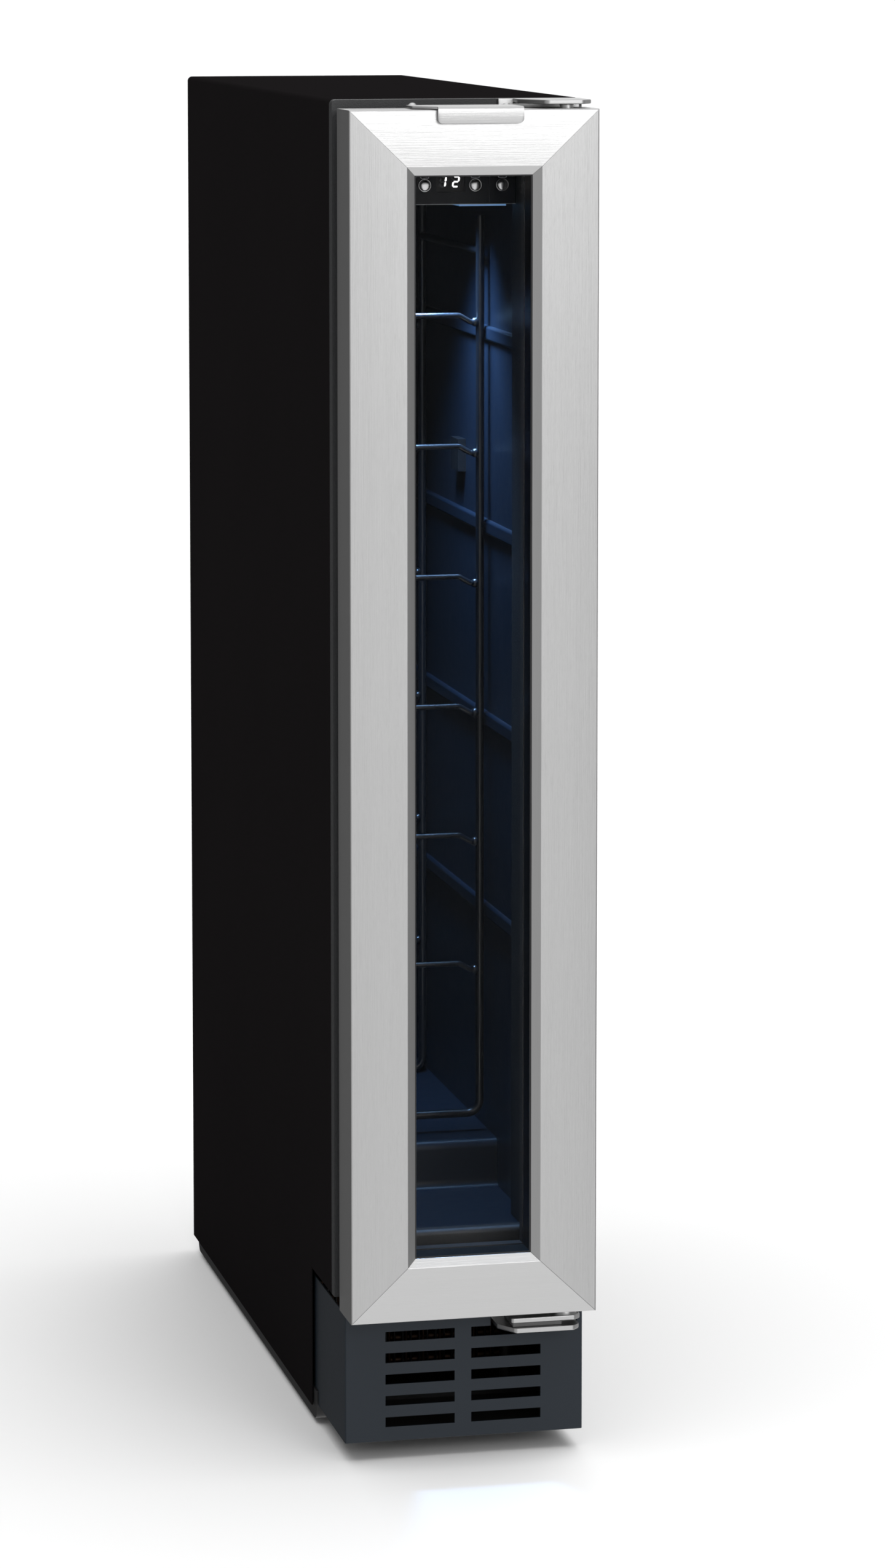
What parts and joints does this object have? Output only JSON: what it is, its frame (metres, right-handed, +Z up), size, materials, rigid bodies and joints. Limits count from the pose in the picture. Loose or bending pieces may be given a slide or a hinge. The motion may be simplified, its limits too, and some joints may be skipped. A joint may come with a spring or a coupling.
{
  "type": "wine cooler",
  "caption": "Slim built-under wine cooler: tall black cabinet, brushed steel framed glass door on hinges, wire bottle rack, slotted plinth and machine compartment.",
  "frame": {"origin": "on the floor, under the middle of the outer box", "axes": "+X to the right seen from the front, +Y to the back, the door faces -Y, +Z up"},
  "size_m": [0.148, 0.528, 0.796],
  "materials": {
    "black_paint": "satin",
    "zinc_sheet": "satin",
    "foam": "matte",
    "liner_plastic": "satin gloss",
    "frame_plastic": "fine leather grain",
    "black_wire": "gloss coated wire",
    "aluminium_plate": "satin",
    "black_plastic": "matte",
    "gloss_black": "gloss",
    "display_window": "smoked gloss",
    "circuit_board": "matte",
    "button_chrome": "domed, plated",
    "lamp_lens": "frosted",
    "black_enamel": "gloss",
    "copper": "drawn copper",
    "grey_tube": "matte",
    "plinth_paint": "satin",
    "bracket_steel": "zinc plated",
    "spacer_plastic": "matte",
    "screw_steel": "plated",
    "brushed_front": "brushed",
    "core_plastic": "matte",
    "pane": "clear, slightly smoked",
    "spacer_metal": "anodised",
    "seal_rubber": "matte",
    "bush_plastic": "matte",
    "foot_plastic": "matte"
  },
  "bodies": {
    "cabinet": {"back_panel": "zinc_sheet", "base_tray": "zinc_sheet", "bottom_hinge_arm": "bracket_steel", "bottom_hinge_bracket": "bracket_steel", "bottom_hinge_screw_left": "screw_steel", "bottom_hinge_screw_right": "screw_steel", "bottom_hinge_spacer": "spacer_plastic", "compressor": "black_enamel", "condenser_coil": "copper", "condenser_fan_frame": "black_plastic", "control_board": "circuit_board", "control_fascia": "gloss_black", "control_housing": "black_plastic", "display_module": "display_window", "drain_tube": "grey_tube", "electronics_box": "black_plastic", "evaporation_tray": "black_plastic", "evaporator_cover": "black_plastic", "evaporator_fan_frame": "black_plastic", "evaporator_plate": "aluminium_plate", "filter_dryer": "copper", "flange_screw": "screw_steel", "hinge_washer": "bracket_steel", "inner_liner": "liner_plastic", "insulation_foam": "foam", "led_diffuser": "lamp_lens", "liner_front_frame": "frame_plastic", "mains_inlet": "black_plastic", "outer_shell": "black_paint", "plinth_grille": "plinth_paint", "rack_front_frame": "black_wire", "rack_rail_left": "black_wire", "rack_rail_right": "black_wire", "rack_rear_frame": "black_wire", "rear_cover": "zinc_sheet", "suction_pipe": "copper", "temperature_sensor": "black_plastic", "top_hinge_bracket": "bracket_steel", "top_hinge_screw": "screw_steel"},
    "door": {"door_stile_left": "brushed_front", "door_stile_right": "brushed_front", "door_rail_top": "brushed_front", "door_rail_bottom": "brushed_front", "door_core": "core_plastic", "door_glass_outer": "pane", "door_glass_inner": "pane", "glass_spacer": "spacer_metal", "door_gasket": "seal_rubber", "door_handle": "brushed_front", "door_bush_top": "bush_plastic", "door_bush_bottom": "bush_plastic"},
    "light_button": {"light_button": "button_chrome"},
    "down_button": {"down_button": "button_chrome"},
    "power_button": {"power_button": "button_chrome"},
    "room_fan": {"evaporator_fan_rotor": "black_plastic"},
    "condenser_fan": {"condenser_fan_rotor": "black_plastic"},
    "foot_front_left": {"foot_front_left": "foot_plastic"},
    "foot_front_right": {"foot_front_right": "foot_plastic"},
    "foot_rear_left": {"foot_rear_left": "foot_plastic"},
    "foot_rear_right": {"foot_rear_right": "foot_plastic"}
  },
  "joints": [
    {"name": "door_hinge", "type": "hinge", "parent": "cabinet", "child": "door", "pos_m": [0.058, -0.243, 0.09], "axis": [0, 0, 1], "range_deg": [0, 110]},
    {"name": "light_button_press", "type": "slide", "parent": "cabinet", "child": "light_button", "axis": [0, 1, 0], "range_m": [0, 0.001], "stiffness_N_per_m": 400, "springref_m": -0.0005},
    {"name": "down_button_press", "type": "slide", "parent": "cabinet", "child": "down_button", "axis": [0, 1, 0], "range_m": [0, 0.001], "stiffness_N_per_m": 400, "springref_m": -0.0005},
    {"name": "power_button_press", "type": "slide", "parent": "cabinet", "child": "power_button", "axis": [0, 1, 0], "range_m": [0, 0.001], "stiffness_N_per_m": 400, "springref_m": -0.0005},
    {"name": "room_fan_spin", "type": "hinge", "parent": "cabinet", "child": "room_fan", "pos_m": [0, 0.186, 0.6], "axis": [0, 1, 0], "continuous": true},
    {"name": "condenser_fan_spin", "type": "hinge", "parent": "cabinet", "child": "condenser_fan", "pos_m": [0, -0.03, 0.056], "axis": [0, 1, 0], "continuous": true},
    {"name": "foot_front_left_screw", "type": "slide", "parent": "cabinet", "child": "foot_front_left", "axis": [0, 0, -1], "range_m": [0, 0.03]},
    {"name": "foot_front_right_screw", "type": "slide", "parent": "cabinet", "child": "foot_front_right", "axis": [0, 0, -1], "range_m": [0, 0.03]},
    {"name": "foot_rear_left_screw", "type": "slide", "parent": "cabinet", "child": "foot_rear_left", "axis": [0, 0, -1], "range_m": [0, 0.03]},
    {"name": "foot_rear_right_screw", "type": "slide", "parent": "cabinet", "child": "foot_rear_right", "axis": [0, 0, -1], "range_m": [0, 0.03]}
  ]
}
